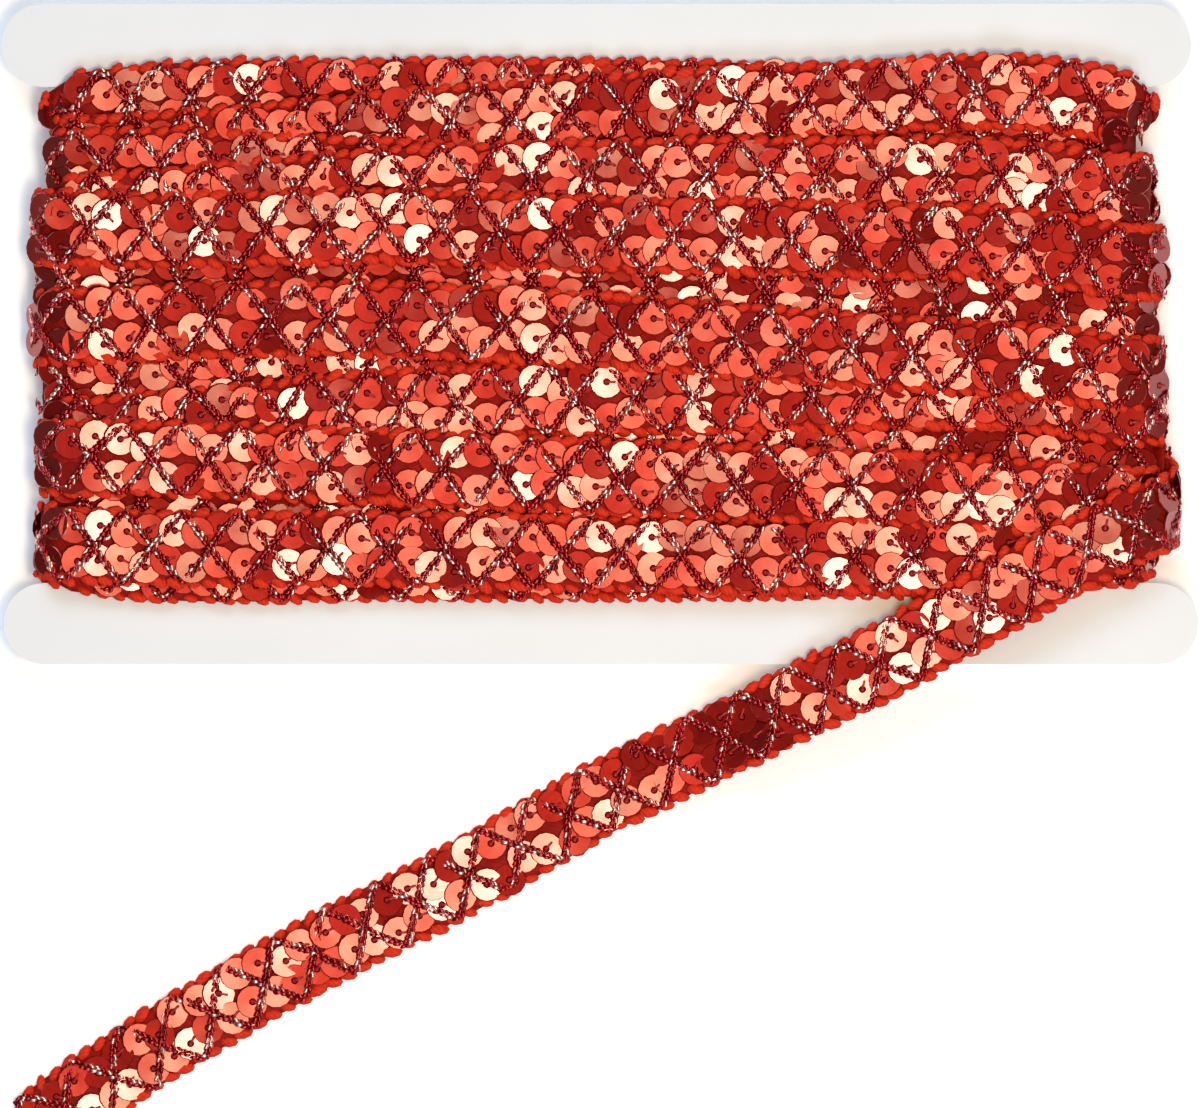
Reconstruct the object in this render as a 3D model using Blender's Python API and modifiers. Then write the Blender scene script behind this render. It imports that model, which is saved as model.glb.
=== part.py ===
"""Sequin trim wound on a flat card, with one loose end lying beside it.

Metres, +Z up. The origin is on the back of the winding, below the middle of the card, and the back rests
at z = 0. +X runs along the card's ears, and the loose end leaves over the lower ear, towards -Y.
Tables are in millimetres.
"""

import math

import bpy
import numpy as np

MM = 0.001

# The trim
TRIM_WIDTH = 13.7
TRIM_THICKNESS = 1.2
CLEARANCE = 0.3

# The card, two ears with round ends joined by a neck
CARD_THICKNESS = 1.2
CARD_BACK = 4.4
NECK_HALF_WIDTH = 93.0
EAR_TABLE = {
    "upper": {"left": -107.5, "right": 106.2, "inner": 44.3, "outer": 59.2},
    "lower": {"left": -107.1, "right": 107.5, "inner": -44.8, "outer": -59.4},
}
EAR_ARC_STEPS = 14

# Each band of the winding where it crosses the front, from the upper ear to the lower one.
# order: a band covers its neighbours of a lower order. left_end and right_end: how far its turns reach.
# rise: height of its upper and lower edge over the card's face. middle: Y of its centre line at the columns.
BAND_COLUMNS = (-99.0, -82.8, -41.4, 0.0, 41.4, 82.8, 99.0)
BAND_FIELDS = ("order", "left_end", "right_end", "rise_upper", "rise_lower", "middle")
BANDS = (
    (1, -97.2, 96.7, 2.0, 2.0, (39.6, 41.6, 42.7, 42.7, 41.6, 40.0, 38.2)),
    (2, -98.6, 97.0, 3.0, 2.4, (31.9, 32.7, 36.5, 39.9, 41.9, 42.6, 39.1)),
    (3, -99.0, 97.4, 3.5, 2.9, (29.7, 30.2, 28.4, 27.5, 26.6, 24.8, 23.4)),
    (4, -98.8, 99.7, 4.1, 3.4, (21.2, 22.5, 26.3, 27.9, 28.4, 27.0, 24.4)),
    (6, -101.9, 101.5, 4.8, 4.4, (19.1, 18.5, 19.3, 17.8, 16.9, 14.8, 11.5)),
    (1, -100.8, 99.2, 2.2, 2.2, (9.7, 9.5, 10.3, 9.2, 6.8, 4.9, 2.9)),
    (6, -101.9, 101.3, 4.5, 4.6, (0.7, 1.8, 2.5, 0.5, -2.7, -5.8, -7.9)),
    (2, -100.8, 99.2, 2.4, 2.2, (-9.2, -9.0, -7.9, -6.8, -8.3, -11.0, -12.8)),
    (3, -99.5, 101.6, 3.4, 3.2, (-18.4, -17.6, -13.3, -11.7, -10.8, -11.5, -14.4)),
    (1, -99.0, 100.4, 2.2, 2.0, (-17.3, -17.3, -16.9, -16.6, -16.9, -19.1, -20.2)),
    (5, -101.0, 100.9, 4.6, 4.4, (-22.3, -22.5, -23.9, -25.7, -27.5, -29.9, -31.3)),
    (1, -99.9, 99.0, 2.2, 2.2, (-29.9, -30.1, -30.4, -31.3, -32.6, -34.4, -35.3)),
    (5, -100.8, 99.2, 4.4, 4.2, (-38.0, -38.5, -38.7, -39.6, -40.0, -39.4, -38.5)),
    (1, -99.0, 98.5, 2.2, 2.0, (-39.4, -41.2, -41.4, -41.2, -40.9, -40.0, -38.0)),
)
FRONT_STATIONS = 40
TURN_STATIONS = 7
SLOT_HALF_HEIGHT = 0.5 * CARD_THICKNESS + CLEARANCE
TURN_CENTRE = NECK_HALF_WIDTH + CLEARANCE
EDGE_RUN = 0.25
FADE_WIDTH = 1.6

# Where the loose end's start lies on the back, the bands around it are pressed in
SEAT_X = 82.5
SEAT_UPPER_Y = -15.0
SEAT_DEPTH = 1.7

# The loose end's centre line: X, Y and the height of the middle of its thickness
LOOSE_START = ((84.5, -25.6, 0.6), (90.0, -25.9, 0.6), (95.0, -26.4, 0.6))
LOOSE_TURN = {"x": 96.0, "z": 6.4, "reach": 7.1, "rise": 5.8, "start_y": -26.6, "end_y": -34.2, "steps": 6}
LOOSE_RUN = (
    (88.9, -38.0, 12.3),
    (80.6, -41.9, 12.3),
    (71.6, -47.3, 12.0),
    (61.3, -53.0, 10.9),
    (50.9, -58.8, 9.6),
    (39.4, -64.3, 8.3),
    (30.0, -69.0, 6.4),
    (21.5, -73.2, 3.4),
    (12.0, -77.8, 1.3),
    (2.0, -82.6, 0.62),
    (-18.5, -94.4, 0.6),
    (-32.4, -101.9, 0.6),
    (-44.6, -108.0, 0.6),
    (-66.4, -120.2, 0.6),
    (-84.1, -130.9, 0.6),
    (-97.2, -139.9, 0.6),
    (-101.9, -143.4, 0.6),
)
LOOSE_STATION_STEP = 2.6

COLOURS = {
    "card": (0.82, 0.81, 0.79),
    "winding": (0.46, 0.035, 0.025),
    "loose_end": (0.52, 0.045, 0.03),
}


def plain_material(name, roughness, metallic):
    material = bpy.data.materials.new(name)
    material.use_nodes = True
    shader = material.node_tree.nodes["Principled BSDF"]
    shader.inputs["Base Color"].default_value = (*COLOURS[name], 1.0)
    shader.inputs["Roughness"].default_value = roughness
    shader.inputs["Metallic"].default_value = metallic
    return material


def add_object(name, data, collection, material):
    part = bpy.data.objects.new(name, data)
    collection.objects.link(part)
    data.materials.append(material)
    return part


def mesh_from(name, points, faces):
    """A mesh of points given in millimetres."""
    mesh = bpy.data.meshes.new(name)
    mesh.from_pydata([tuple(MM * value for value in point) for point in points], [], faces)
    mesh.validate()
    mesh.shade_smooth()
    mesh.set_sharp_from_angle(angle=math.radians(35))
    return mesh


def smooth_line(columns, values, places):
    """Values at the places, on a smooth line through the values at the columns."""
    columns = np.asarray(columns, float)
    values = np.asarray(values, float)
    slopes = np.gradient(values, columns, axis=0)
    spans = np.clip(np.searchsorted(columns, places, side="right") - 1, 0, len(columns) - 2)
    widths = columns[spans + 1] - columns[spans]
    t = (places - columns[spans]) / widths
    if values.ndim > 1:
        t, widths = t[:, None], widths[:, None]
    start, end = values[spans], values[spans + 1]
    leave, arrive = slopes[spans] * widths, slopes[spans + 1] * widths
    return (
        (2 * t**3 - 3 * t**2 + 1) * start
        + (t**3 - 2 * t**2 + t) * leave
        + (3 * t**2 - 2 * t**3) * end
        + (t**3 - t**2) * arrive
    )


def ear_outline(ear, side, towards):
    """Points round one end of an ear, from its inner to its outer edge, or back if towards is -1."""
    radius = 0.5 * abs(ear["outer"] - ear["inner"])
    middle_y = 0.5 * (ear["outer"] + ear["inner"])
    middle_x = ear[side] - radius if side == "right" else ear[side] + radius
    reach = radius if side == "right" else -radius
    rise = 0.5 * (ear["outer"] - ear["inner"])
    angles = np.linspace(-0.5, 0.5, EAR_ARC_STEPS + 1)[::towards] * math.pi
    return [(middle_x + reach * math.cos(a), middle_y + rise * math.sin(a)) for a in angles]


def make_card(collection):
    """A flat outline, extruded by half its thickness each way."""
    upper, lower = EAR_TABLE["upper"], EAR_TABLE["lower"]
    outline = [(NECK_HALF_WIDTH, upper["inner"])]
    outline += ear_outline(upper, "right", 1) + ear_outline(upper, "left", -1)
    outline += [(-NECK_HALF_WIDTH, upper["inner"]), (-NECK_HALF_WIDTH, lower["inner"])]
    outline += ear_outline(lower, "left", 1) + ear_outline(lower, "right", -1)
    outline += [(NECK_HALF_WIDTH, lower["inner"])]

    curve = bpy.data.curves.new("card", "CURVE")
    curve.dimensions = "2D"
    curve.fill_mode = "BOTH"
    curve.extrude = 0.5 * CARD_THICKNESS * MM
    spline = curve.splines.new("POLY")
    spline.points.add(len(outline) - 1)
    for point, (x, y) in zip(spline.points, outline, strict=True):
        point.co = (x * MM, y * MM, 0.0, 1.0)
    spline.use_cyclic_u = True
    card = add_object("card", curve, collection, plain_material("card", 0.85, 0.0))
    card.location.z = (CARD_BACK + 0.5 * CARD_THICKNESS) * MM
    return card


def visible_strips(bands, middles, slopes):
    """The edges between the strips that show at one place, from top to bottom, one more than the bands."""
    half = 0.5 * TRIM_WIDTH * np.sqrt(1.0 + slopes**2)
    edges, owners = [middles[0] + half[0]], [0]
    for index in range(len(bands) - 1):
        below_covers = bands[index + 1]["order"] > bands[index]["order"]
        owner = index + 1 if below_covers else index
        edges.append(middles[owner] + half[owner] * (1 if below_covers else -1))
        owners.append(owner)
    edges.append(middles[-1] - half[-1])
    owners.append(len(bands) - 1)
    orders = [bands[owner]["order"] for owner in owners]
    # Where a strip has vanished, the edge of the band that lies higher is the one that shows
    for index in range(len(bands)):
        if edges[index] < edges[index + 1]:
            kept = index if orders[index] >= orders[index + 1] else index + 1
            edges[index] = edges[index + 1] = edges[kept]
            orders[index] = orders[index + 1] = orders[kept]
    return edges


def strip_rows(bands, middles, slopes):
    """Y and height over the card's face of each row of the sleeve's outer skin, from top to bottom."""
    edges = visible_strips(bands, middles, slopes)
    heights = []
    for index, band in enumerate(bands):
        shares = [(middles[index] - edges[k]) / TRIM_WIDTH + 0.5 for k in (index, index + 1)]
        rise = [np.interp(share, (0, 1), (band["rise_upper"], band["rise_lower"])) for share in shares]
        heights.append(rise)
    # A strip that narrows to nothing comes up to its lower neighbour, so that no slit is left
    for index in range(1, len(bands) - 1):
        share = min(1.0, (edges[index] - edges[index + 1]) / FADE_WIDTH)
        beside = min(heights[index - 1][1], heights[index + 1][0])
        heights[index] = [beside + share * (height - beside) for height in heights[index]]
    rows = []
    for index, (start, end) in enumerate(heights):
        inset = min(EDGE_RUN, 0.3 * max(edges[index] - edges[index + 1], 0.2))
        middle = 0.5 * (edges[index] + edges[index + 1])
        rows.append((edges[index] - inset, start))
        rows.append((middle, 0.5 * (start + end)))
        rows.append((edges[index + 1] + inset, end))
    return rows


def spaced_rows(rows):
    """The rows with their Y kept in falling order, a little apart."""
    y, height = np.array(rows).T
    for index in range(1, len(y)):
        y[index] = min(y[index], y[index - 1] - 0.5 * EDGE_RUN)
    return y, height


def winding_rings(bands):
    """Rings of points round the neck, one for each station, each running down its outer skin and up its slot."""
    columns = np.array(BAND_COLUMNS)
    lines = np.array([band["middle"] for band in bands])
    places = np.linspace(-TURN_CENTRE, TURN_CENTRE, FRONT_STATIONS + 1)
    middles = np.array([smooth_line(columns, line, places) for line in lines])
    slopes = np.gradient(middles, places, axis=1)
    fronts = [spaced_rows(strip_rows(bands, middles[:, k], slopes[:, k])) for k in range(len(places))]

    face = 0.5 * CARD_THICKNESS
    centre_z = CARD_BACK + face
    limits = (EAR_TABLE["upper"]["inner"] - CLEARANCE, EAR_TABLE["lower"]["inner"] + CLEARANCE)
    ends = {
        side: np.repeat([band[f"{side}_end"] for band in bands], 3) for side in ("left", "right")
    }
    deepest = max(max(band["rise_upper"], band["rise_lower"]) for band in bands)

    def turn(side, front, back, angle):
        """Outer and slot points at an angle round one turn: 90 degrees is the front, -90 the back."""
        y = 0.5 * (front[0] + back[0])
        y = y * np.where(y > 0, min(1.0, limits[0] / y[0]), min(1.0, limits[1] / y[-1]))
        centre = TURN_CENTRE if side == "right" else -TURN_CENTRE
        x = centre + (ends[side] - centre) * math.cos(angle)
        rise = front[1] if angle > 0 else back[1]
        z = centre_z + (face + rise) * math.sin(angle)
        slot_x = centre + math.copysign(SLOT_HALF_HEIGHT, centre) * math.cos(angle)
        slot_z = centre_z + SLOT_HALF_HEIGHT * math.sin(angle)
        return ring(x, y, z, slot_x, slot_z)

    def ring(x, y, z, slot_x, slot_z):
        outer = list(zip(np.broadcast_to(x, y.shape), y, z, strict=True))
        return [*outer, (slot_x, y[-1], slot_z), (slot_x, y[0], slot_z)]

    def flat(place, y, rise, facing):
        z = centre_z + facing * (face + rise)
        return ring(place, y, z, place, centre_z + facing * SLOT_HALF_HEIGHT)

    # The back's bands run from their right turn to their left one, and its highest ones rest at z = 0
    across = (places + TURN_CENTRE) / (2 * TURN_CENTRE)
    backs = []
    for place, share in zip(places, across, strict=True):
        y = fronts[0][0] * (1 - share) + fronts[-1][0] * share
        rise = fronts[0][1] * (1 - share) + fronts[-1][1] * share
        rise = np.minimum(rise + CARD_BACK - 0.9 * deepest, CARD_BACK)
        if place > SEAT_X:
            rise = np.where(y < SEAT_UPPER_Y, np.minimum(rise, CARD_BACK - SEAT_DEPTH), rise)
        backs.append((y, rise))

    angles = np.linspace(0.5 * math.pi, -0.5 * math.pi, TURN_STATIONS + 2)[1:-1]
    rings = [flat(x, *front, 1) for x, front in zip(places, fronts, strict=True)]
    rings += [turn("right", fronts[-1], backs[-1], angle) for angle in angles]
    rings += [flat(x, *back, -1) for x, back in zip(places[::-1], backs[::-1], strict=True)]
    rings += [turn("left", fronts[0], backs[0], angle) for angle in angles[::-1]]
    return rings


def loft(rings):
    """Faces between neighbouring rings, the last of which meets the first."""
    count, size = len(rings), len(rings[0])
    faces = []
    for station in range(count):
        following = (station + 1) % count
        for row in range(size):
            beside = (row + 1) % size
            faces.append(
                (
                    station * size + row,
                    station * size + beside,
                    following * size + beside,
                    following * size + row,
                )
            )
    return faces


def make_winding(collection):
    bands = [dict(zip(BAND_FIELDS, row, strict=True)) for row in BANDS]
    rings = winding_rings(bands)
    points = [point for ring in rings for point in ring]
    mesh = mesh_from("winding", points, loft(rings))
    return add_object("winding", mesh, collection, plain_material("winding", 0.4, 0.3))


def loose_line():
    """Evenly spaced points on the loose end's smooth centre line."""
    turn = LOOSE_TURN
    route = list(LOOSE_START)
    for angle in np.linspace(-0.5, 0.5, turn["steps"] + 1)[1:] * math.pi:
        share = angle / math.pi + 0.5
        x = turn["x"] + turn["reach"] * math.cos(angle)
        y = turn["start_y"] + share * (turn["end_y"] - turn["start_y"])
        route.append((x, y, turn["z"] + turn["rise"] * math.sin(angle)))
    route = np.array(route + list(LOOSE_RUN))
    along = np.concatenate([[0.0], np.cumsum(np.linalg.norm(np.diff(route, axis=0), axis=1))])
    places = np.linspace(0.0, along[-1], round(along[-1] / LOOSE_STATION_STEP) + 1)
    return smooth_line(along, route, places)


def make_loose_end(collection):
    """An open ribbon along the line, its width square to the line and to the ribbon's face, with Solidify."""
    line = loose_line()
    tangents = np.gradient(line, axis=0)
    tangents /= np.linalg.norm(tangents, axis=1)[:, None]
    widths = np.array([0.0, 1.0, 0.0]) - tangents[:, 1:2] * tangents
    widths /= np.linalg.norm(widths, axis=1)[:, None]
    offsets = 0.5 * TRIM_WIDTH * np.array([-1.0, 0.0, 1.0])
    points = [tuple(middle + offset * across) for middle, across in zip(line, widths) for offset in offsets]
    size = len(offsets)
    faces = [
        (station * size + k, station * size + k + 1, (station + 1) * size + k + 1, (station + 1) * size + k)
        for station in range(len(line) - 1)
        for k in range(size - 1)
    ]
    mesh = mesh_from("loose_end", points, faces)
    loose_end = add_object("loose_end", mesh, collection, plain_material("loose_end", 0.4, 0.3))
    solidify = loose_end.modifiers.new("thickness", "SOLIDIFY")
    solidify.thickness = TRIM_THICKNESS * MM
    solidify.offset = 0.0
    return loose_end


def main():
    for existing in list(bpy.data.objects):
        bpy.data.objects.remove(existing, do_unlink=True)
    collection = bpy.data.collections.new("sequin_trim")
    bpy.context.scene.collection.children.link(collection)
    make_card(collection)
    make_winding(collection)
    make_loose_end(collection)


main()
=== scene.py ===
import math

import bpy
import numpy as np
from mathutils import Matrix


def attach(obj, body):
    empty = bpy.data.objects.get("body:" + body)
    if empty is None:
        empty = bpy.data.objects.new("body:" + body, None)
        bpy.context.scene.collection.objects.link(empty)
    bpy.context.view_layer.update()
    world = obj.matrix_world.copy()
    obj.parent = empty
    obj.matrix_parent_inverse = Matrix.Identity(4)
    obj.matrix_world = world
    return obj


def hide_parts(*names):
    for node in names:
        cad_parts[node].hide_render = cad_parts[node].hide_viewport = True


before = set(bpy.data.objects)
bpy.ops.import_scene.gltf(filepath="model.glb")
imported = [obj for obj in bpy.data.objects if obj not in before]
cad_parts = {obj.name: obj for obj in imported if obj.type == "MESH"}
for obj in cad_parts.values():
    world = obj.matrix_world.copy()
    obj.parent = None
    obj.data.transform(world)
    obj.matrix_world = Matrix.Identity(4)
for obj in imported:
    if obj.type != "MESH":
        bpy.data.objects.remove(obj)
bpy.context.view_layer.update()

mm = 0.001

# What each piece is made from. Lengths are in millimetres and angles in degrees. A copy is left out where it
# lies deeper than "covered" inside a band that covers it.
camera = {"photoWidth": 1200, "photoHeight": 1108, "pixel": 0.18, "middleX": 600, "middleY": 334,
          "distance": 2500.0, "sensor": 36.0}
card = {"thickness": 1.2, "back": 4.4, "colour": (0.785, 0.80, 0.815), "upperEdge": 44.3, "lowerEdge": -44.8}
trim = {"width": 13.7, "stack": 1.6, "turnCentre": 93.3, "frontDrop": 0.3, "backDrop": 0.82, "step": 0.5,
        "turnSteps": 14, "earRoom": 0.7, "slackSlope": 1.1, "looseLift": (-0.25, 0.3)}
# The tape's deep maroon is the edging's orange-red yarn darkened as painted shade, for the shade it lies in
# between the sequins.
tape = {"width": 12.8, "thickness": 0.55, "height": -0.65, "rows": 7, "pitch": 2.3,
        "colour": (0.30, 0.006, 0.003)}
lobe = {"length": 3.5, "width": 2.1, "thickness": 1.35, "pitch": 3.1, "place": 6.1, "height": -0.5,
        "slant": 22.0, "alongSpread": 0.12, "acrossSpread": 0.10, "heightSpread": 0.05, "covered": 1.0,
        "colour": (0.68, 0.030, 0.008)}
sequin = {"radius": 3.0, "hole": 0.6, "thickness": 0.13, "dish": 0.03, "sides": 14, "pitch": 4.3,
          "rowPlace": 2.88, "rowJitter": 0.58, "height": 0.1, "rowLift": 0.16, "lean": 5.5,
          "leanSpread": 4.8, "roll": 1.0, "rollSpread": 6.4, "rollLimit": 11.0, "alongSpread": 0.36,
          "sideShift": 0.35, "heightSpread": 0.1, "bevel": 0.13, "covered": 2.2,
          "colour": (0.37, 0.0095, 0.0045)}
stitch = {"width": 0.42, "length": 1.8, "arch": 0.28, "swing": 26.0, "knot": 0.95, "height": 0.08,
          "covered": 0.6, "colour": (0.36, 0.008, 0.013)}
# The chain's bright pink-white colour is a painted glint, given to a random share of its beads.
chain = {"period": 21.0, "reach": 6.0, "pitch": 1.15, "bead": (1.5, 0.96, 0.36), "side": 0.34,
         "slant": 20.0, "height": 0.74, "crossing": 0.22, "dip": 0.35, "step": 0.1, "drift": 0.42,
         "driftStep": 4.0, "covered": 0.6, "colour": (0.62, 0.008, 0.014), "paintedGlint": (1.0, 0.58, 0.48)}
ground = {"side": 6.0, "colour": (0.94, 0.95, 0.96), "glow": (0.96, 0.98, 1.0), "glowStrength": 0.18}

# Each band where it crosses the front, from the upper ear down: order of covering, reach of its left and
# right turn, rise of its upper and lower edge over the card, and Y of its middle at bandColumns
bandColumns = (-99.0, -82.8, -41.4, 0.0, 41.4, 82.8, 99.0)
bandFields = ("order", "leftEnd", "rightEnd", "riseUpper", "riseLower", "middle")
frontBands = (
    (1, -97.2, 96.7, 2.0, 2.0, (39.6, 41.6, 42.7, 42.7, 41.6, 40.0, 38.2)),
    (2, -98.6, 97.0, 3.0, 2.4, (31.9, 32.7, 36.5, 39.9, 41.9, 42.6, 39.1)),
    (3, -99.0, 97.4, 3.5, 2.9, (29.7, 30.2, 28.4, 27.5, 26.6, 24.8, 23.4)),
    (4, -98.8, 99.7, 4.1, 3.4, (21.2, 22.5, 26.3, 27.9, 28.4, 27.0, 24.4)),
    (6, -101.9, 101.5, 4.8, 4.4, (19.1, 18.5, 19.3, 17.8, 16.9, 14.8, 11.5)),
    (1, -100.8, 99.2, 2.2, 2.2, (9.7, 9.5, 10.3, 9.2, 6.8, 4.9, 2.9)),
    (6, -101.9, 101.3, 4.5, 4.6, (0.7, 1.8, 2.5, 0.5, -2.7, -5.8, -7.9)),
    (2, -100.8, 99.2, 2.4, 2.2, (-9.2, -9.0, -7.9, -6.8, -8.3, -11.0, -12.8)),
    (3, -99.5, 101.6, 3.4, 3.2, (-18.4, -17.6, -13.3, -11.7, -10.8, -11.5, -14.4)),
    (1, -99.0, 100.4, 2.2, 2.0, (-17.3, -17.3, -16.9, -16.6, -16.9, -19.1, -20.2)),
    (5, -101.0, 100.9, 4.6, 4.4, (-22.3, -22.5, -23.9, -25.7, -27.5, -29.9, -31.3)),
    (1, -99.9, 99.0, 2.2, 2.2, (-29.9, -30.1, -30.4, -31.3, -32.6, -34.4, -35.3)),
    (4, -100.8, 99.2, 4.4, 4.2, (-38.0, -38.5, -38.7, -39.6, -40.0, -39.4, -38.5)),
    (1, -99.0, 98.5, 2.2, 2.0, (-39.4, -41.2, -41.4, -41.2, -40.9, -40.0, -38.0)),
)
# On the back each band joins the left turn of one front band to the right turn of the next one down
backOrders = (3, 2, 4, 1, 5, 2, 3, 5, 1, 4, 2, 5, 3)
backBows = (0.8, -1.2, 1.5, 0.4, -1.6, 1.1, -0.7, 1.8, 0.3, -1.4, 1.2, -0.8, 0.5)
backRises = {1: 2.0, 2: 2.5, 3: 3.1, 4: 3.7, 5: 4.2, 6: 4.4}

# The loose end's centre line, from where it leaves the back of the winding, round the right turn, to its free
# end
looseStart = ((84.5, -25.6, 0.6), (90.0, -25.9, 0.6), (95.0, -26.4, 0.6))
looseTurn = {"x": 96.0, "z": 6.4, "reach": 7.1, "rise": 5.8, "startY": -26.6, "endY": -34.2, "steps": 6}
looseRun = (
    (88.9, -38.0, 12.3), (80.6, -41.9, 12.3), (71.6, -47.3, 12.0), (61.3, -53.0, 10.9), (50.9, -58.8, 9.6),
    (39.4, -64.3, 8.3), (30.0, -69.0, 6.4), (21.5, -73.2, 3.4), (12.0, -77.8, 1.3), (2.0, -82.6, 0.62),
    (-18.5, -94.4, 0.6), (-32.4, -101.9, 0.6), (-44.6, -108.0, 0.6), (-66.4, -120.2, 0.6),
    (-84.1, -130.9, 0.6), (-97.2, -139.9, 0.6), (-101.9, -143.4, 0.6),
)


def deselectAll():
    bpy.ops.object.select_all(action="DESELECT")


# Camera, light and floor

def addCamera():
    x = (camera["photoWidth"] / 2 - camera["middleX"]) * camera["pixel"]
    y = (camera["middleY"] - camera["photoHeight"] / 2) * camera["pixel"]
    deselectAll()
    bpy.ops.object.camera_add(location=(x * mm, y * mm, camera["distance"] * mm), rotation=(0, 0, 0))
    cam = bpy.context.object
    cam.name = "camera"
    cam.data.sensor_width = camera["sensor"]
    wide = camera["photoWidth"] * camera["pixel"]
    cam.data.lens = camera["sensor"] * camera["distance"] / wide
    cam.data.clip_start = 0.01
    cam.data.clip_end = 50.0
    bpy.context.scene.camera = cam


def addPanel(name, place, target, size, radiance, colour=(1.0, 1.0, 1.0)):
    # radiance is how bright the panel looks in a mirror, next to a white floor at 1
    deselectAll()
    bpy.ops.object.light_add(type="AREA", location=[v * mm for v in place])
    lamp = bpy.context.object
    lamp.name = name
    lamp.data.shape = "RECTANGLE"
    lamp.data.size, lamp.data.size_y = size[0] * mm, size[1] * mm
    lamp.data.energy = radiance * math.pi * size[0] * size[1] * mm * mm
    lamp.data.color = colour
    away = np.array(place, float) - np.array(target, float)
    flat = math.hypot(away[0], away[1])
    lamp.rotation_euler = (math.atan2(flat, away[2]), 0.0, math.atan2(away[0], -away[1]))
    lamp.visible_camera = False
    return lamp


# A key in three nested sizes, warmer outwards, which flat sequins mirror when they lean the right way, and big
# soft panels above and below that light the card and the yarn but stay out of the flat sequins
lights = {
    "keyCore": {"place": (100, -130, 620), "target": (-10, -10, 0), "size": (110, 110), "radiance": 14.0,
                "colour": (0.92, 0.90, 0.86)},
    "keyRing": {"place": (100, -130, 621), "target": (-10, -10, 0), "size": (215, 215), "radiance": 9.0,
                "colour": (0.92, 0.72, 0.42)},
    "keyWide": {"place": (100, -130, 622), "target": (-10, -10, 0), "size": (320, 320), "radiance": 3.2,
                "colour": (0.92, 0.62, 0.32)},
    "high": {"place": (85, 180, 700), "target": (-10, 10, 0), "size": (150, 120), "radiance": 9.0,
             "colour": (0.92, 0.74, 0.45)},
    "upper": {"place": (0, 820, 780), "target": (0, -30, 0), "size": (1100, 500), "radiance": 4.6,
              "colour": (0.62, 0.79, 1.0)},
    "lower": {"place": (0, -880, 780), "target": (0, -30, 0), "size": (1100, 500), "radiance": 4.4,
              "colour": (0.62, 0.79, 1.0)},
    "left": {"place": (-950, 0, 500), "target": (0, -30, 0), "size": (500, 800), "radiance": 0.22,
             "colour": (1.0, 0.6, 0.5)},
    "right": {"place": (950, 0, 500), "target": (0, -30, 0), "size": (500, 800), "radiance": 0.22,
              "colour": (1.0, 0.6, 0.5)},
}


def addLights():
    for name, facts in lights.items():
        addPanel(name + "Panel", **facts)
    world = bpy.data.worlds.new("studio")
    world.use_nodes = True
    world.node_tree.nodes["Background"].inputs["Color"].default_value = (1.0, 0.97, 0.96, 1.0)
    world.node_tree.nodes["Background"].inputs["Strength"].default_value = 0.03
    bpy.context.scene.world = world
    bpy.context.scene.view_settings.view_transform = "Standard"
    bpy.context.scene.view_settings.look = "None"
    bpy.context.scene.view_settings.exposure = 0.0


def addFloor():
    deselectAll()
    bpy.ops.mesh.primitive_plane_add(size=ground["side"], location=(0, 0, 0))
    floor = bpy.context.object
    floor.name = "floor"
    material = bpy.data.materials.new("paleFloor")
    material.use_nodes = True
    shader = material.node_tree.nodes["Principled BSDF"]
    shader.inputs["Base Color"].default_value = (*ground["colour"], 1.0)
    shader.inputs["Emission Color"].default_value = (*ground["glow"], 1.0)
    shader.inputs["Emission Strength"].default_value = ground["glowStrength"]
    shader.inputs["Roughness"].default_value = 0.9
    shader.inputs["Specular IOR Level"].default_value = 0.1
    floor.data.materials.append(material)


# Materials

def newMaterial(name):
    material = bpy.data.materials.new(name)
    material.use_nodes = True
    return material, material.node_tree, material.node_tree.nodes["Principled BSDF"]


def addNode(tree, kind, **values):
    node = tree.nodes.new(kind)
    for name, value in values.items():
        if hasattr(node, name):
            setattr(node, name, value)
        else:
            node.inputs[name].default_value = value
    return node


def addRamp(tree, source, stops):
    ramp = tree.nodes.new("ShaderNodeValToRGB")
    while len(ramp.color_ramp.elements) < len(stops):
        ramp.color_ramp.elements.new(0.5)
    for element, (place, colour) in zip(ramp.color_ramp.elements, stops):
        element.position = place
        element.color = (*colour, 1.0)
    tree.links.new(source, ramp.inputs["Fac"])
    return ramp


def shaded(colour, share):
    return tuple(min(1.0, c * share) for c in colour)


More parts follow.
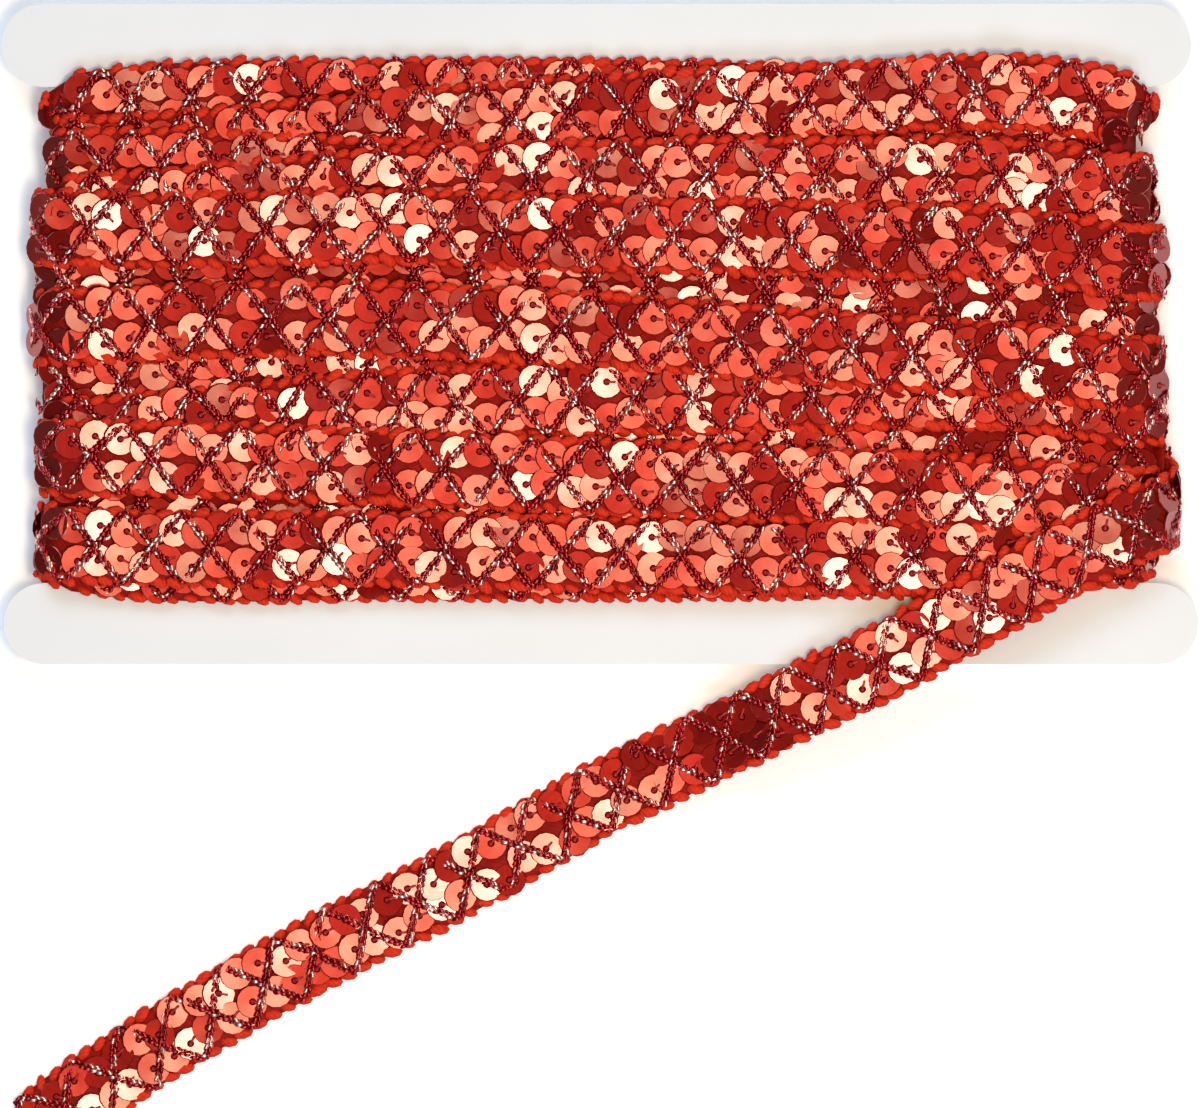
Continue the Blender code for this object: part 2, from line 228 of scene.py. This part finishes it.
def sequinFilm():
    # Red metallised film under a clear coat, with faint streaks
    material, tree, shader = newMaterial("sequinFilm")
    place = addNode(tree, "ShaderNodeUVMap", uv_map="local")
    tone = addNode(tree, "ShaderNodeAttribute", attribute_name="tone")
    spread = addNode(tree, "ShaderNodeVectorMath", operation="MULTIPLY")
    spread.inputs[1].default_value = (0.16, 1.0, 1.0)
    shifted = addNode(tree, "ShaderNodeVectorMath", operation="MULTIPLY_ADD")
    shifted.inputs[1].default_value = (90.0, 170.0, 0.0)
    lines = addNode(tree, "ShaderNodeTexNoise", noise_dimensions="2D", Scale=1.6, Detail=3.0, Roughness=0.6)
    tree.links.new(place.outputs["UV"], spread.inputs[0])
    tree.links.new(tone.outputs["Fac"], shifted.inputs[0])
    tree.links.new(spread.outputs[0], shifted.inputs[2])
    tree.links.new(shifted.outputs[0], lines.inputs["Vector"])
    ramp = addRamp(tree, lines.outputs["Fac"], ((0.3, shaded(sequin["colour"], 0.85)),
                                                (0.7, shaded(sequin["colour"], 1.12))))
    tree.links.new(ramp.outputs["Color"], shader.inputs["Base Color"])
    bump = addNode(tree, "ShaderNodeBump", Strength=0.12, Distance=0.00008)
    tree.links.new(lines.outputs["Fac"], bump.inputs["Height"])
    tree.links.new(bump.outputs["Normal"], shader.inputs["Normal"])
    shader.inputs["Metallic"].default_value = 1.0
    shader.inputs["Roughness"].default_value = 0.43
    shader.inputs["Coat Weight"].default_value = 1.0
    shader.inputs["Coat Roughness"].default_value = 0.18
    shader.inputs["Coat IOR"].default_value = 1.7
    return material


def chainThread():
    material, tree, shader = newMaterial("chainThread")
    # Red metallised thread. Beads whose random tone passes about 0.8, roughly a quarter of them, get a
    # near-white base colour as a painted glint.
    tone = addNode(tree, "ShaderNodeAttribute", attribute_name="tone")
    ramp = addRamp(tree, tone.outputs["Fac"], ((0.0, shaded(chain["colour"], 0.5)),
                                              (0.72, chain["colour"]),
                                              (0.80, chain["paintedGlint"]),
                                              (1.0, chain["paintedGlint"])))
    tree.links.new(ramp.outputs["Color"], shader.inputs["Base Color"])
    shader.inputs["Metallic"].default_value = 1.0
    shader.inputs["Roughness"].default_value = 0.3
    shader.inputs["Coat Weight"].default_value = 0.6
    shader.inputs["Coat Roughness"].default_value = 0.15
    return material


def braidYarn(name, colour, scale):
    # Spun orange-red yarn: plies that slant across, and a soft fuzz
    material, tree, shader = newMaterial(name)
    place = addNode(tree, "ShaderNodeUVMap", uv_map="local")
    plies = addNode(tree, "ShaderNodeTexWave", bands_direction="DIAGONAL", Scale=scale, Distortion=1.2,
                    Detail=2.0)
    fuzz = addNode(tree, "ShaderNodeTexNoise", Scale=1100.0, Detail=4.0)
    where = addNode(tree, "ShaderNodeTexCoord")
    mixed = addNode(tree, "ShaderNodeMix", data_type="FLOAT")
    tree.links.new(place.outputs["UV"], plies.inputs["Vector"])
    tree.links.new(where.outputs["Object"], fuzz.inputs["Vector"])
    tree.links.new(plies.outputs["Fac"], mixed.inputs["A"])
    tree.links.new(fuzz.outputs["Fac"], mixed.inputs["B"])
    mixed.inputs["Factor"].default_value = 0.8
    ramp = addRamp(tree, mixed.outputs["Result"], ((0.2, shaded(colour, 0.62)), (0.55, colour),
                                                   (0.85, shaded(colour, 1.25))))
    tree.links.new(ramp.outputs["Color"], shader.inputs["Base Color"])
    bump = addNode(tree, "ShaderNodeBump", Strength=0.7, Distance=0.0003)
    tree.links.new(mixed.outputs["Result"], bump.inputs["Height"])
    tree.links.new(bump.outputs["Normal"], shader.inputs["Normal"])
    shader.inputs["Roughness"].default_value = 0.72
    shader.inputs["Specular IOR Level"].default_value = 0.15
    return material


def stitchThread():
    material, tree, shader = newMaterial("stitchThread")
    fuzz = addNode(tree, "ShaderNodeTexNoise", Scale=2500.0, Detail=3.0)
    where = addNode(tree, "ShaderNodeTexCoord")
    tree.links.new(where.outputs["Object"], fuzz.inputs["Vector"])
    ramp = addRamp(tree, fuzz.outputs["Fac"], ((0.3, shaded(stitch["colour"], 0.6)),
                                               (0.7, shaded(stitch["colour"], 1.6))))
    tree.links.new(ramp.outputs["Color"], shader.inputs["Base Color"])
    shader.inputs["Roughness"].default_value = 0.45
    return material


def paperboard():
    # Off-white board: fine fibres, a faint mottle and soft wavy creases across the whole board
    material, tree, shader = newMaterial("paperboard")
    where = addNode(tree, "ShaderNodeTexCoord")
    fibres = addNode(tree, "ShaderNodeTexNoise", Scale=1600.0, Detail=5.0, Roughness=0.65)
    mottle = addNode(tree, "ShaderNodeTexNoise", Scale=28.0, Detail=3.0)
    creases = addNode(tree, "ShaderNodeTexWave", bands_direction="DIAGONAL", Scale=26.0, Distortion=6.0,
                      Detail=2.0)
    for node in (fibres, mottle, creases):
        tree.links.new(where.outputs["Object"], node.inputs["Vector"])
    ramp = addRamp(tree, mottle.outputs["Fac"], ((0.3, shaded(card["colour"], 0.975)),
                                                 (0.7, shaded(card["colour"], 1.01))))
    tree.links.new(ramp.outputs["Color"], shader.inputs["Base Color"])
    fine = addNode(tree, "ShaderNodeBump", Strength=0.12, Distance=0.00004)
    tree.links.new(fibres.outputs["Fac"], fine.inputs["Height"])
    soft = addNode(tree, "ShaderNodeBump", Strength=0.10, Distance=0.0006)
    tree.links.new(creases.outputs["Fac"], soft.inputs["Height"])
    tree.links.new(fine.outputs["Normal"], soft.inputs["Normal"])
    tree.links.new(soft.outputs["Normal"], shader.inputs["Normal"])
    shader.inputs["Roughness"].default_value = 0.8
    shader.inputs["Specular IOR Level"].default_value = 0.25
    return material


# Tracks: the line of each stretch of trim, with the directions along, across and out of it

def smoothLine(columns, values, places):
    columns, values = np.asarray(columns, float), np.asarray(values, float)
    slopes = np.gradient(values, columns, axis=0)
    spans = np.clip(np.searchsorted(columns, places, side="right") - 1, 0, len(columns) - 2)
    widths = columns[spans + 1] - columns[spans]
    t = (places - columns[spans]) / widths
    if values.ndim > 1:
        t, widths = t[:, None], widths[:, None]
    start, end = values[spans], values[spans + 1]
    leave, arrive = slopes[spans] * widths, slopes[spans + 1] * widths
    return ((2 * t**3 - 3 * t**2 + 1) * start + (t**3 - 2 * t**2 + t) * leave
            + (3 * t**2 - 2 * t**3) * end + (t**3 - t**2) * arrive)


def unit(vectors):
    return vectors / np.linalg.norm(vectors, axis=-1, keepdims=True)


def betweenEars(y):
    # Where a band turns round the neck it keeps between the ears
    room = 0.5 * trim["width"] + trim["earRoom"]
    return np.clip(y, card["lowerEdge"] + room, card["upperEdge"] - room)


def readBands():
    # Front and back bands alike: order, reaches, rises, and a function of x that gives the middle's y
    fronts = [dict(zip(bandFields, row)) for row in frontBands]
    for band in fronts:
        band["y"] = lambda x, middle=band["middle"]: smoothLine(bandColumns, middle, x)
    edge = trim["turnCentre"]
    backs = []
    for index, (order, bow) in enumerate(zip(backOrders, backBows)):
        left, right = fronts[index], fronts[index + 1]
        ends = (float(left["y"](np.array([-edge]))[0]), float(right["y"](np.array([edge]))[0]))
        backs.append({"order": order, "leftEnd": left["leftEnd"], "rightEnd": right["rightEnd"],
                      "riseUpper": backRises[order], "riseLower": backRises[order], "ends": ends, "bow": bow})
    # The outermost band on the back is the one that goes on as the loose end
    last = fronts[-1]
    backs.append({"order": 6, "leftEnd": last["leftEnd"] - 2.2, "rightEnd": 102.3, "riseUpper": backRises[6],
                  "riseLower": backRises[6], "ends": (float(last["y"](np.array([-edge]))[0]), -26.0),
                  "bow": -1.0})
    for band in backs:
        band["y"] = lambda x, e=band["ends"], b=band["bow"]: (
            e[0] + (e[1] - e[0]) * (x + edge) / (2 * edge) + b * np.cos(0.5 * math.pi * x / edge))
    return fronts, backs


def makeTrack(band, bands, facing):
    # From the middle of one turn to the middle of the other. facing is 1 in front and -1 behind
    edge, face = trim["turnCentre"], 0.5 * card["thickness"]
    centreZ = card["back"] + face
    drop = trim["frontDrop"] if facing > 0 else trim["backDrop"]
    rise = 0.5 * (band["riseUpper"] + band["riseLower"]) - drop
    if facing < 0:
        rise = min(rise, card["back"] - drop)
    tilt = (band["riseUpper"] - band["riseLower"]) / trim["width"]
    angles = np.linspace(0.0, 0.5 * math.pi, trim["turnSteps"] + 1)[:-1]
    height = face + rise
    xs, ys, zs, bends = [], [], [], []

    def turn(side, sweep):
        reach = abs(band[side + "End"]) - trim["frontDrop"] - edge
        sign = 1 if side == "right" else -1
        y = float(band["y"](np.array([sign * edge]))[0])
        ease = np.clip((np.sin(sweep) - 0.55) / 0.45, 0, 1)
        xs.append(sign * (edge + reach * np.cos(sweep)))
        ys.append(betweenEars(y) + (y - betweenEars(y)) * ease**2)
        zs.append(centreZ + facing * height * np.sin(sweep))
        bends.append(np.sin(sweep))

    first, last = ("left", "right") if facing > 0 else ("right", "left")
    turn(first, angles)
    x = facing * np.linspace(-edge, edge, round(2 * edge / trim["step"]) + 1)
    xs.append(x)
    ys.append(band["y"](x))
    zs.append(np.full(len(x), centreZ + facing * height))
    bends.append(np.ones(len(x)))
    turn(last, angles[::-1])
    middle = np.stack([np.concatenate(v) for v in (xs, ys, zs)], axis=1)
    flatness = np.concatenate(bends)

    tangents = unit(np.gradient(middle, axis=0))
    across = np.array([0.0, 1.0, 0.0]) - tangents[:, 1:2] * tangents
    across = unit(across)
    outward = np.cross(tangents, across)
    across = unit(across + (tilt * flatness)[:, None] * outward)
    outward = unit(np.cross(tangents, across))
    along = np.concatenate([[0.0], np.cumsum(np.linalg.norm(np.diff(middle, axis=0), axis=1))])
    return {"along": along, "middle": middle, "across": across, "outward": outward, "tangent": tangents,
            "flatness": flatness, "band": band, "bands": bands}


def looseRoute():
    route = list(looseStart)
    turn = looseTurn
    for angle in np.linspace(-0.5, 0.5, turn["steps"] + 1)[1:] * math.pi:
        share = angle / math.pi + 0.5
        route.append((turn["x"] + turn["reach"] * math.cos(angle),
                      turn["startY"] + share * (turn["endY"] - turn["startY"]),
                      turn["z"] + turn["rise"] * math.sin(angle)))
    route = np.array(route + list(looseRun))
    along = np.concatenate([[0.0], np.cumsum(np.linalg.norm(np.diff(route, axis=0), axis=1))])
    places = np.linspace(0.0, along[-1], round(along[-1] / trim["step"]) + 1)
    return smoothLine(along, route, places)


def makeLooseTrack():
    # It runs from the free end to the winding, so that out of the trim is up where it lies on the surface
    middle = looseRoute()[::-1]
    tangents = unit(np.gradient(middle, axis=0))
    across = unit(np.array([0.0, 1.0, 0.0]) - tangents[:, 1:2] * tangents)
    outward = np.cross(tangents, across)
    lift = np.interp(outward[:, 2], (-1.0, 0.2), trim["looseLift"])
    middle = middle + lift[:, None] * outward
    along = np.concatenate([[0.0], np.cumsum(np.linalg.norm(np.diff(middle, axis=0), axis=1))])
    return {"along": along, "middle": middle, "across": across, "outward": outward, "tangent": tangents,
            "flatness": np.ones(len(along)), "band": None, "bands": ()}


def readTrack(track, key, s):
    values = track[key]
    if values.ndim == 1:
        return np.interp(s, track["along"], values)
    return np.stack([np.interp(s, track["along"], values[:, k]) for k in range(3)], axis=1)


def coverAndPress(track, s, w):
    # How deep each place lies inside the bands that cover it, and how far they press it in
    depth, press = np.full(len(s), -99.0), np.zeros(len(s))
    band = track["band"]
    if band is None:
        return depth, press
    edge, half = trim["turnCentre"], 0.5 * trim["width"]
    middle = readTrack(track, "middle", s)
    across = readTrack(track, "across", s)
    flatness = readTrack(track, "flatness", s)
    y = middle[:, 1] + w * across[:, 1]
    x = np.clip(middle[:, 0], -edge, edge)
    side = np.where(middle[:, 0] > 0, "rightEnd", "leftEnd")
    own = band["riseLower"] + (w / trim["width"] + 0.5) * (band["riseUpper"] - band["riseLower"])
    ownReach = np.where(side == "rightEnd", abs(band["rightEnd"]), abs(band["leftEnd"]))
    for other in track["bands"]:
        if other is band:
            continue
        otherY = other["y"](x)
        otherY = np.where(flatness > 0.98, otherY, betweenEars(otherY))
        inside = half - np.abs(y - otherY)
        share = np.clip((y - otherY) / trim["width"] + 0.5, 0, 1)
        rise = other["riseLower"] + share * (other["riseUpper"] - other["riseLower"])
        reach = np.where(side == "rightEnd", abs(other["rightEnd"]), abs(other["leftEnd"]))
        slack = trim["slackSlope"] * np.maximum(0.0, -inside)
        overFlat = other["order"] > band["order"]
        overTurn = (reach > ownReach) | ((reach == ownReach) & overFlat)
        pressFlat = np.minimum(0.0, rise - trim["stack"] + slack - own) if overFlat else np.zeros(len(s))
        pressTurn = np.where(overTurn, np.minimum(0.0, reach - trim["stack"] + slack - ownReach), 0.0)
        press = np.minimum(press, pressFlat * flatness**2 + pressTurn * (1 - flatness**2))
        covers = np.where(flatness > 0.7, overFlat, overTurn)
        depth = np.maximum(depth, np.where(covers, inside, -99.0))
    return depth, press


def placeOn(track, s, w, h):
    # Positions and directions on a track at s along it, w across it and h out of it
    depth, press = coverAndPress(track, s, w)
    middle, across = readTrack(track, "middle", s), unit(readTrack(track, "across", s))
    outward, tangent = unit(readTrack(track, "outward", s)), unit(readTrack(track, "tangent", s))
    place = middle + w[:, None] * across + (h + press)[:, None] * outward
    return place, tangent, across, outward, depth


# Small shapes, each modelled once and then copied

def takeShape():
    # Reads the object that was just modelled, and removes it
    made = bpy.context.object
    mesh = made.data
    points = np.empty(len(mesh.vertices) * 3)
    mesh.vertices.foreach_get("co", points)
    shape = {"points": points.reshape(-1, 3) / mm, "faces": [tuple(p.vertices) for p in mesh.polygons]}
    bpy.data.objects.remove(made, do_unlink=True)
    bpy.data.meshes.remove(mesh)
    return shape


def modelSequin():
    deselectAll()
    bpy.ops.mesh.primitive_circle_add(vertices=sequin["sides"], radius=sequin["radius"] * mm, fill_type="NGON")
    bpy.ops.object.mode_set(mode="EDIT")
    bpy.ops.mesh.inset(thickness=(sequin["radius"] - sequin["hole"]) * mm)
    bpy.ops.transform.translate(value=(0, 0, -sequin["dish"] * mm))
    bpy.ops.mesh.delete(type="ONLY_FACE")
    bpy.ops.object.mode_set(mode="OBJECT")
    made = bpy.context.object
    wall = made.modifiers.new("film", "SOLIDIFY")
    wall.thickness = sequin["thickness"] * mm
    wall.offset = 0.0
    bpy.ops.object.modifier_apply(modifier="film")
    shape = takeShape()
    # Both edges slope, so that each sequin has a thin dark rim as a punched one has
    points = shape["points"]
    reach = np.hypot(points[:, 0], points[:, 1])
    upper = points[:, 2] > -0.5 * sequin["dish"]
    wanted = np.where(reach > 0.5 * sequin["radius"], reach - sequin["bevel"], reach + sequin["bevel"])
    points[:, :2] *= np.where(upper, wanted / reach, 1.0)[:, None]
    return shape


def modelBead(size, segments, rings):
    deselectAll()
    bpy.ops.mesh.primitive_uv_sphere_add(segments=segments, ring_count=rings, radius=0.5 * mm,
                                         rotation=(0, 0, math.radians(180 / segments)))
    bpy.ops.object.transform_apply(location=False, rotation=True, scale=False)
    bpy.context.object.rotation_euler = (0, math.radians(90), 0)
    bpy.ops.object.transform_apply(location=False, rotation=True, scale=False)
    bpy.context.object.scale = size
    bpy.ops.object.transform_apply(location=False, rotation=False, scale=True)
    return takeShape()


def modelStitch():
    # A short arched thread that comes up through the hole and goes down beside the sequin's edge
    deselectAll()
    bpy.ops.mesh.primitive_circle_add(vertices=4, radius=0.5 * stitch["width"] * mm, fill_type="NGON",
                                      location=(-0.15 * mm, 0, -0.35 * mm), rotation=(0, math.radians(90), 0))
    bpy.ops.object.transform_apply(location=True, rotation=True, scale=False)
    bpy.ops.object.mode_set(mode="EDIT")
    rise, run = stitch["arch"], stitch["length"]
    for step in ((0.10, 0, 0.35 + 0.6 * rise), (0.40 * run, 0, 0.4 * rise), (0.42 * run, 0, -0.5 * rise),
                 (0.14 * run, 0, -0.9 * rise)):
        bpy.ops.mesh.extrude_region_move(TRANSFORM_OT_translate={"value": [v * mm for v in step]})
    bpy.ops.mesh.select_all(action="SELECT")
    bpy.ops.mesh.normals_make_consistent(inside=False)
    bpy.ops.object.mode_set(mode="OBJECT")
    thread, knot = takeShape(), modelBead((stitch["knot"], stitch["knot"], 0.5 * stitch["knot"]), 5, 3)
    base = len(thread["points"])
    return {"points": np.concatenate([thread["points"], knot["points"]]),
            "faces": thread["faces"] + [tuple(corner + base for corner in face) for face in knot["faces"]]}


def joinCopies(name, shape, places, axes, material, tones, scales=None, smoothAngle=180):
    # One mesh that holds a copy of the shape at each place. Its own flat coordinates go to the map called local
    count, points = len(places), shape["points"]
    turned = np.einsum("mji,nj->mni", axes, points)
    if scales is not None:
        turned = turned * scales[:, None, None]
    vertices = ((turned + places[:, None, :]) * mm).reshape(-1, 3)
    sizes = np.array([len(face) for face in shape["faces"]])
    corners = np.concatenate([np.array(face) for face in shape["faces"]])
    indices = (corners[None, :] + np.arange(count)[:, None] * len(points)).ravel()
    starts = (np.concatenate([[0], np.cumsum(sizes)[:-1]])[None, :]
              + np.arange(count)[:, None] * sizes.sum()).ravel()
    mesh = bpy.data.meshes.new(name)
    mesh.vertices.add(len(vertices))
    mesh.vertices.foreach_set("co", vertices.ravel())
    mesh.loops.add(len(indices))
    mesh.loops.foreach_set("vertex_index", indices)
    mesh.polygons.add(len(starts))
    mesh.polygons.foreach_set("loop_start", starts)
    flatMap = mesh.uv_layers.new(name="local")
    local = points[corners][:, :2]
    flatMap.uv.foreach_set("vector", np.tile(local, (count, 1)).ravel().astype(np.float32))
    tone = mesh.attributes.new("tone", "FLOAT", "POINT")
    tone.data.foreach_set("value", np.repeat(tones, len(points)).astype(np.float32))
    mesh.update(calc_edges=True)
    mesh.validate()
    made = bpy.data.objects.new(name, mesh)
    bpy.context.scene.collection.objects.link(made)
    mesh.materials.append(material)
    if smoothAngle:
        mesh.shade_smooth()
        mesh.set_sharp_from_angle(angle=math.radians(smoothAngle))
    return made


def tiltedAxes(tangent, across, outward, lean, roll, spin):
    # Leans a copy forward along the trim, rolls it sideways and spins it about its own middle
    lean, roll, spin = (np.radians(a)[:, None] for a in (lean, roll, spin))
    first = np.cos(lean) * tangent - np.sin(lean) * outward
    up = np.cos(lean) * outward + np.sin(lean) * tangent
    second = np.cos(roll) * across - np.sin(roll) * up
    up = np.cos(roll) * up + np.sin(roll) * across
    along = np.cos(spin) * first + np.sin(spin) * second
    side = np.cos(spin) * second - np.sin(spin) * first
    return np.stack([along, side, up], axis=1)


# Pieces

def gather(rows):
    return [np.concatenate(values) for values in zip(*rows)]


def addSequins(name, tracks, shape, stitchShape, film, thread, seed):
    chance = np.random.default_rng(seed)
    rows, stitchRows = [], []
    for track in tracks:
        length = track["along"][-1]
        start = chance.uniform(0.3, 1.0) * sequin["pitch"]
        stations = np.arange(start, length - 0.4 * sequin["pitch"], sequin["pitch"])
        for side in (-1, 1):
            count = len(stations)
            s = stations + chance.normal(0, sequin["alongSpread"], count)
            s = s + (sequin["sideShift"] if side > 0 else 0.0)
            w = side * sequin["rowPlace"] + chance.normal(0, sequin["rowJitter"], count)
            lift = sequin["height"] + (sequin["rowLift"] if side > 0 else 0.0)
            lift = lift + chance.uniform(0, sequin["heightSpread"], count)
            lean = sequin["lean"] + chance.normal(0, sequin["leanSpread"], count)
            roll = chance.normal(sequin["roll"] * side, sequin["rollSpread"], count)
            roll = np.clip(roll, -sequin["rollLimit"], sequin["rollLimit"])
            spin = chance.uniform(0, 360, count)
            swing = chance.normal(0, stitch["swing"], count)
            tones = chance.uniform(0, 1, count)
            place, tangent, across, outward, depth = placeOn(track, s, w, lift)
            kept = depth < sequin["covered"]
            axes = tiltedAxes(tangent, across, outward, lean, roll, spin)
            rows.append((place[kept], axes[kept], tones[kept]))
            axes = tiltedAxes(tangent, across, outward, 0.5 * lean, 0.5 * roll, swing)
            kept = depth < stitch["covered"]
            stitchRows.append(((place + stitch["height"] * outward)[kept], axes[kept], tones[kept]))
    place, axes, tones = gather(rows)
    disc = joinCopies(name + "Sequins", shape, place, axes, film, tones, smoothAngle=30)
    place, axes, tones = gather(stitchRows)
    threads = joinCopies(name + "Stitches", stitchShape, place, axes, thread, tones)
    return [disc, threads]


def chainLine(track, phase, chance):
    # The zigzag on the flat trim, for both plies: places along and across, and the direction there
    length = track["along"][-1]
    s = np.arange(0.0, length, chain["step"])
    share = s / chain["period"] + phase
    wave = np.clip(1.14 * 2.0 / math.pi * np.arcsin(0.985 * np.sin(2 * math.pi * share)), -1.0, 1.0)
    knots = np.arange(0, length + chain["driftStep"], chain["driftStep"])
    drift = np.interp(s, knots, chance.normal(0, chain["drift"], len(knots)))
    w = chain["reach"] * wave + drift * (1 - 0.6 * np.abs(wave))
    run = np.concatenate([[0.0], np.cumsum(np.hypot(np.diff(s), np.diff(w)))])
    at = np.arange(0.3, run[-1], chain["pitch"])
    rows = []
    for side in (-1, 1):
        here = at + (0.5 * chain["pitch"] if side > 0 else 0.0) + chance.normal(0, 0.06, len(at))
        here = np.clip(here, 0, run[-1])
        ds = np.interp(here + 0.2, run, s) - np.interp(here - 0.2, run, s)
        dw = np.interp(here + 0.2, run, w) - np.interp(here - 0.2, run, w)
        heading = np.arctan2(dw, ds)
        offset = side * chain["side"]
        rows.append((np.interp(here, run, s) - offset * np.sin(heading),
                     np.interp(here, run, w) + offset * np.cos(heading),
                     np.degrees(heading) - side * chain["slant"]))
    return gather(rows)


def addChain(name, tracks, shape, material, seed):
    chance = np.random.default_rng(seed)
    rows = []
    for track in tracks:
        start = chance.uniform(0, 1)
        for strand in (0, 1):
            s, w, heading = chainLine(track, start + 0.5 * strand, chance)
            count = len(s)
            dip = np.abs(w) / chain["reach"]
            h = chain["height"] + chain["crossing"] * strand * (1 - dip) - chain["dip"] * dip**3
            h = h + chance.normal(0, 0.05, count)
            place, tangent, across, outward, depth = placeOn(track, s, w, h)
            axes = tiltedAxes(tangent, across, outward, chance.normal(0, 7, count),
                              chance.normal(0, 8, count), heading)
            kept = depth < chain["covered"]
            rows.append((place[kept], axes[kept], chance.uniform(0, 1, count)[kept],
                         chance.uniform(0.85, 1.15, count)[kept]))
    place, axes, tones, scales = gather(rows)
    return [joinCopies(name + "Chain", shape, place, axes, material, tones, scales, smoothAngle=0)]


def addLobes(name, tracks, shape, material, seed):
    chance = np.random.default_rng(seed)
    rows = []
    for track in tracks:
        length = track["along"][-1]
        for side in (-1, 1):
            s = np.arange(chance.uniform(0.2, 1.0) * lobe["pitch"], length, lobe["pitch"])
            count = len(s)
            s = s + chance.normal(0, lobe["alongSpread"], count)
            w = side * (lobe["place"] + chance.normal(0, lobe["acrossSpread"], count))
            h = np.full(count, lobe["height"]) + chance.normal(0, lobe["heightSpread"], count)
            place, tangent, across, outward, depth = placeOn(track, s, w, h)
            axes = tiltedAxes(tangent, across, outward, chance.normal(0, 5, count),
                              chance.normal(0, 8, count), side * lobe["slant"] + chance.normal(0, 8, count))
            kept = depth < lobe["covered"]
            rows.append((place[kept], axes[kept], chance.uniform(0, 1, count)[kept],
                         chance.uniform(0.8, 1.15, count)[kept]))
    place, axes, tones, scales = gather(rows)
    return [joinCopies(name + "Edging", shape, place, axes, material, tones, scales)]


def addTape(name, tracks, material):
    # The flat braid under the sequins, an open grid given its thickness by Solidify
    points, faces, local = [], [], []
    offsets = np.linspace(0.5, -0.5, tape["rows"]) * tape["width"]
    base = 0
    for track in tracks:
        s = np.linspace(0.0, track["along"][-1], round(track["along"][-1] / tape["pitch"]) + 1)
        columns = [placeOn(track, s, np.full(len(s), w), np.full(len(s), tape["height"]))[0] for w in offsets]
        grid = np.stack(columns, axis=1)
        points.append(grid.reshape(-1, 3))
        local.append(np.stack([np.repeat(s, len(offsets)), np.tile(offsets, len(s))], axis=1))
        for row in range(len(s) - 1):
            for k in range(len(offsets) - 1):
                a = base + row * len(offsets) + k
                faces.append((a, a + 1, a + 1 + len(offsets), a + len(offsets)))
        base += grid.shape[0] * grid.shape[1]
    points, local = np.concatenate(points), np.concatenate(local)
    mesh = bpy.data.meshes.new(name + "Tape")
    mesh.from_pydata((points * mm).tolist(), [], faces)
    flatMap = mesh.uv_layers.new(name="local")
    corners = np.empty(len(mesh.loops), dtype=np.int32)
    mesh.loops.foreach_get("vertex_index", corners)
    flatMap.uv.foreach_set("vector", local[corners].ravel().astype(np.float32))
    mesh.materials.append(material)
    mesh.shade_smooth()
    made = bpy.data.objects.new(name + "Tape", mesh)
    bpy.context.scene.collection.objects.link(made)
    deselectAll()
    made.select_set(True)
    bpy.context.view_layer.objects.active = made
    wall = made.modifiers.new("thickness", "SOLIDIFY")
    wall.thickness = tape["thickness"] * mm
    wall.offset = 0.0
    bpy.ops.object.modifier_apply(modifier="thickness")
    return [made]


def setOn(pieces):
    for piece in pieces:
        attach(piece, "root")


addCamera()
addLights()
addFloor()
print("camera, light and floor are in place")

fronts, backs = readBands()
frontTracks = [makeTrack(band, fronts, 1) for band in fronts]
backTracks = [makeTrack(band, backs, -1) for band in backs]
looseTrack = makeLooseTrack()
print("tracks:", len(frontTracks), len(backTracks), "loose end", round(looseTrack["along"][-1], 1), "mm")

film, chainMaterial, stitchMaterial = sequinFilm(), chainThread(), stitchThread()
lobeYarn = braidYarn("edgingYarn", lobe["colour"], 0.6)
# The tape gets the same yarn darkened, as painted shade for where it lies between the sequins.
tapeYarnPaintedShade = braidYarn("tapeYarnPaintedShade", tape["colour"], 0.55)
sequinShape = modelSequin()
stitchShape = modelStitch()
beadShape = modelBead(chain["bead"], 4, 2)
lobeShape = modelBead((lobe["length"], lobe["width"], lobe["thickness"]), 6, 4)
print("small shapes are modelled")

pieces = {}
for seed, (name, tracks) in enumerate((("front", frontTracks), ("back", backTracks), ("loose", [looseTrack]))):
    made = addTape(name, tracks, tapeYarnPaintedShade)
    made += addLobes(name, tracks, lobeShape, lobeYarn, 10 + seed)
    made += addSequins(name, tracks, sequinShape, stitchShape, film, stitchMaterial, 20 + seed)
    made += addChain(name, tracks, beadShape, chainMaterial, 30 + seed)
    setOn(made)
    pieces[name] = made
    count = {piece.name: sum(len(p.vertices) - 2 for p in piece.data.polygons) for piece in made}
    print(name, "is dressed:", count)

for piece in pieces["front"] + pieces["back"]:
    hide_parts("winding")
for piece in pieces["loose"]:
    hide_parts("loose_end")

board = paperboard()
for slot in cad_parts["card"].material_slots:
    slot.material = board
print("the card is finished")
